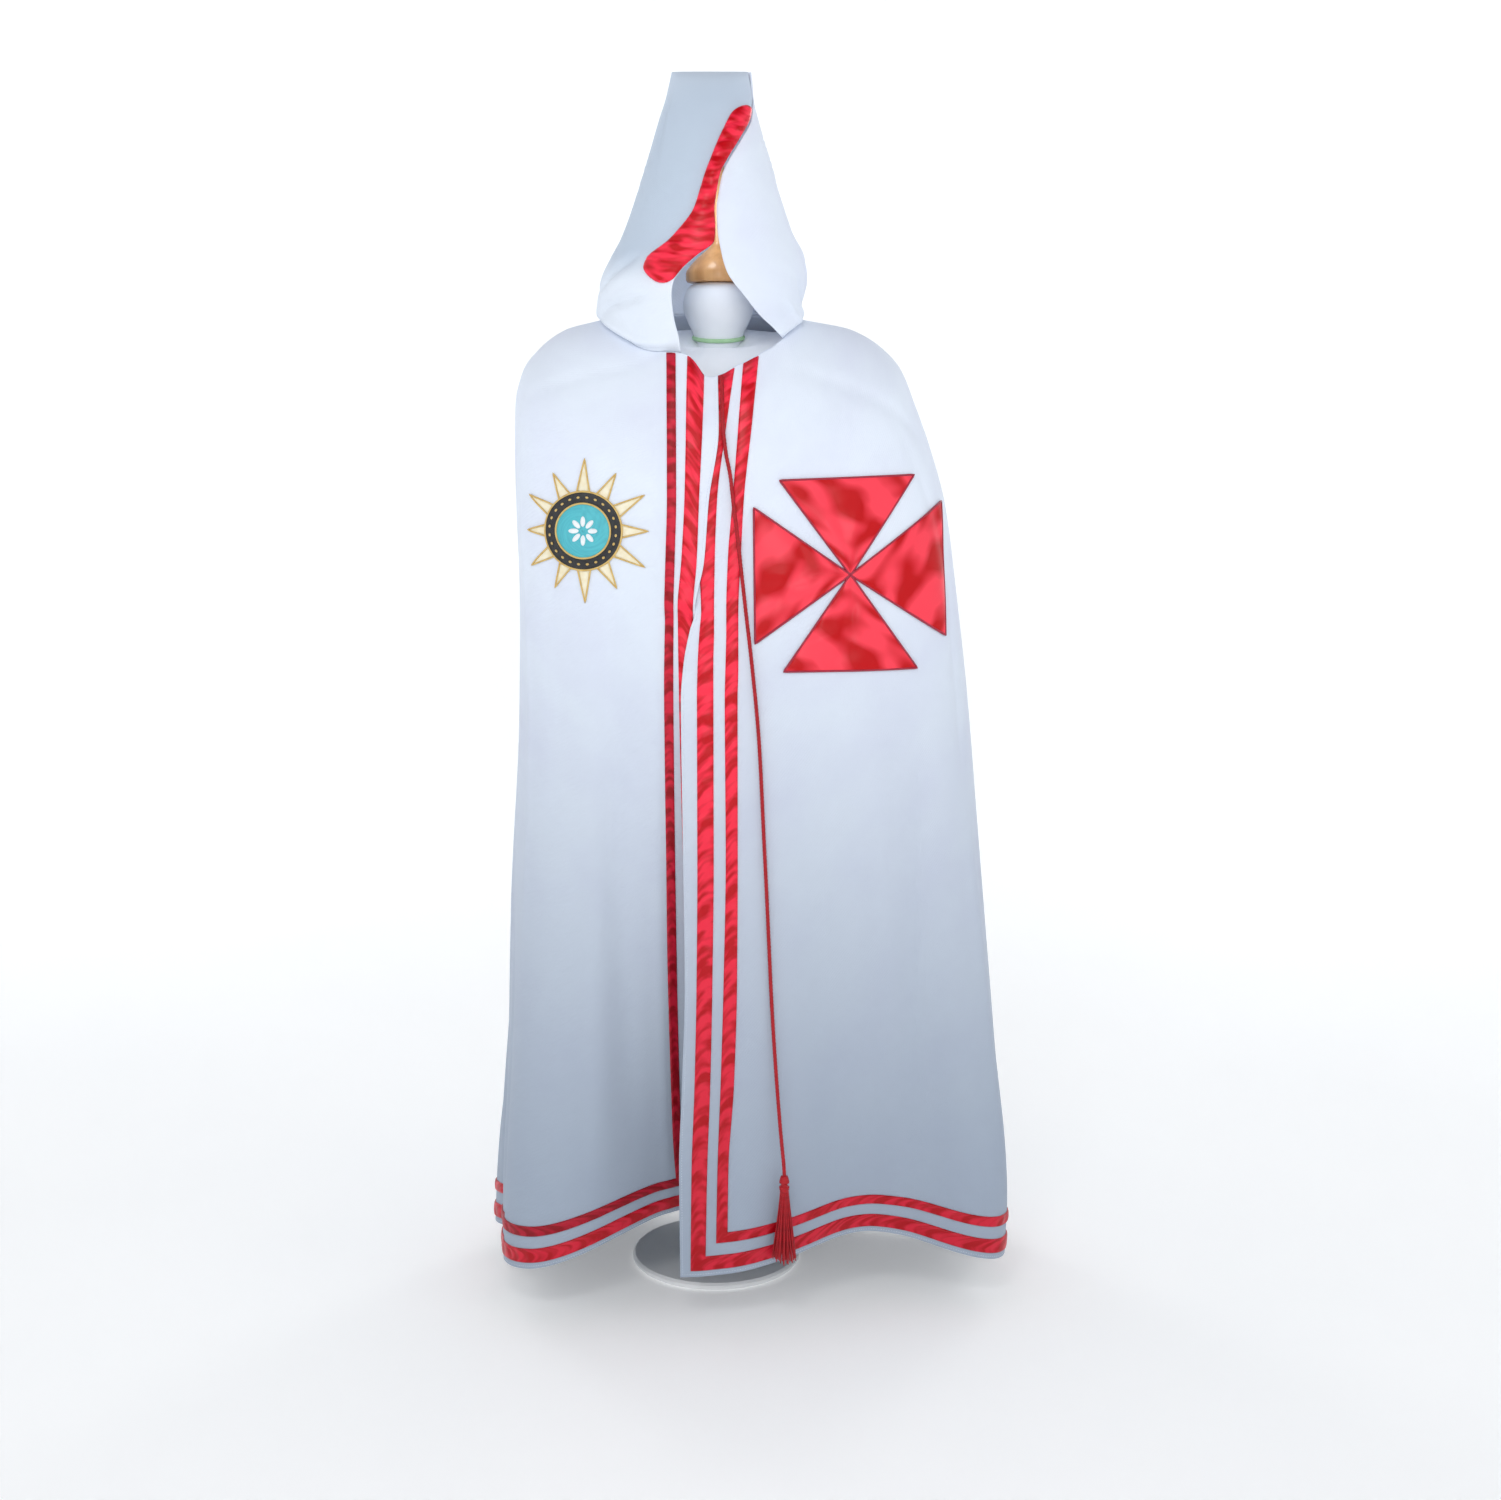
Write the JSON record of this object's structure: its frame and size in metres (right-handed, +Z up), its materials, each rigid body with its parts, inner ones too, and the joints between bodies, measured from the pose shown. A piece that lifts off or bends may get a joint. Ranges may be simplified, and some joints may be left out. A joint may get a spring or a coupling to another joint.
{
  "type": "hooded ceremonial cape on a dress form",
  "caption": "Full-length hooded white cape, open down the front, with red satin bands, a red cross, a round badge, a neck cord and tassel, on a limbless dress form with a round base",
  "frame": {"origin": "on the floor, on the underside of the round base, under the dress form's axis", "axes": "+Z up, -Y is the front of the cape, +X is the viewer's right"},
  "size_m": [0.7054, 0.4355, 1.584],
  "materials": {
    "cloth": "white wool cloth with a soft nap",
    "satin": "red polyester satin, glossy, puckered along its stitching",
    "dark_thread": "black rayon embroidery",
    "blue_thread": "turquoise rayon embroidery",
    "cord": "twisted red rayon cord and tassel threads",
    "linen": "white stretched cover of the dress form",
    "wood": "turned, clear-lacquered wood",
    "white_steel": "white powder-coated steel"
  },
  "bodies": {
    "root": {"front_left": "cloth", "front_right": "cloth", "back": "cloth", "hood_left": "cloth", "hood_right": "cloth", "hood_band": "satin", "band_narrow_left": "satin", "band_narrow_right": "satin", "band_narrow_back": "satin", "band_broad_left": "satin", "band_broad_right": "satin", "band_broad_back": "satin", "cross_arm_top": "satin", "cross_arm_left": "satin", "cross_arm_bottom": "satin", "cross_arm_right": "satin", "badge_ring": "dark_thread", "badge_disc": "blue_thread", "neck_cord": "cord", "tassel": "cord", "form_torso": "linen", "form_neck": "linen", "form_cap": "wood", "hood_rest": "wood", "stand_pole": "white_steel", "stand_base": "white_steel"}
  },
  "joints": []
}
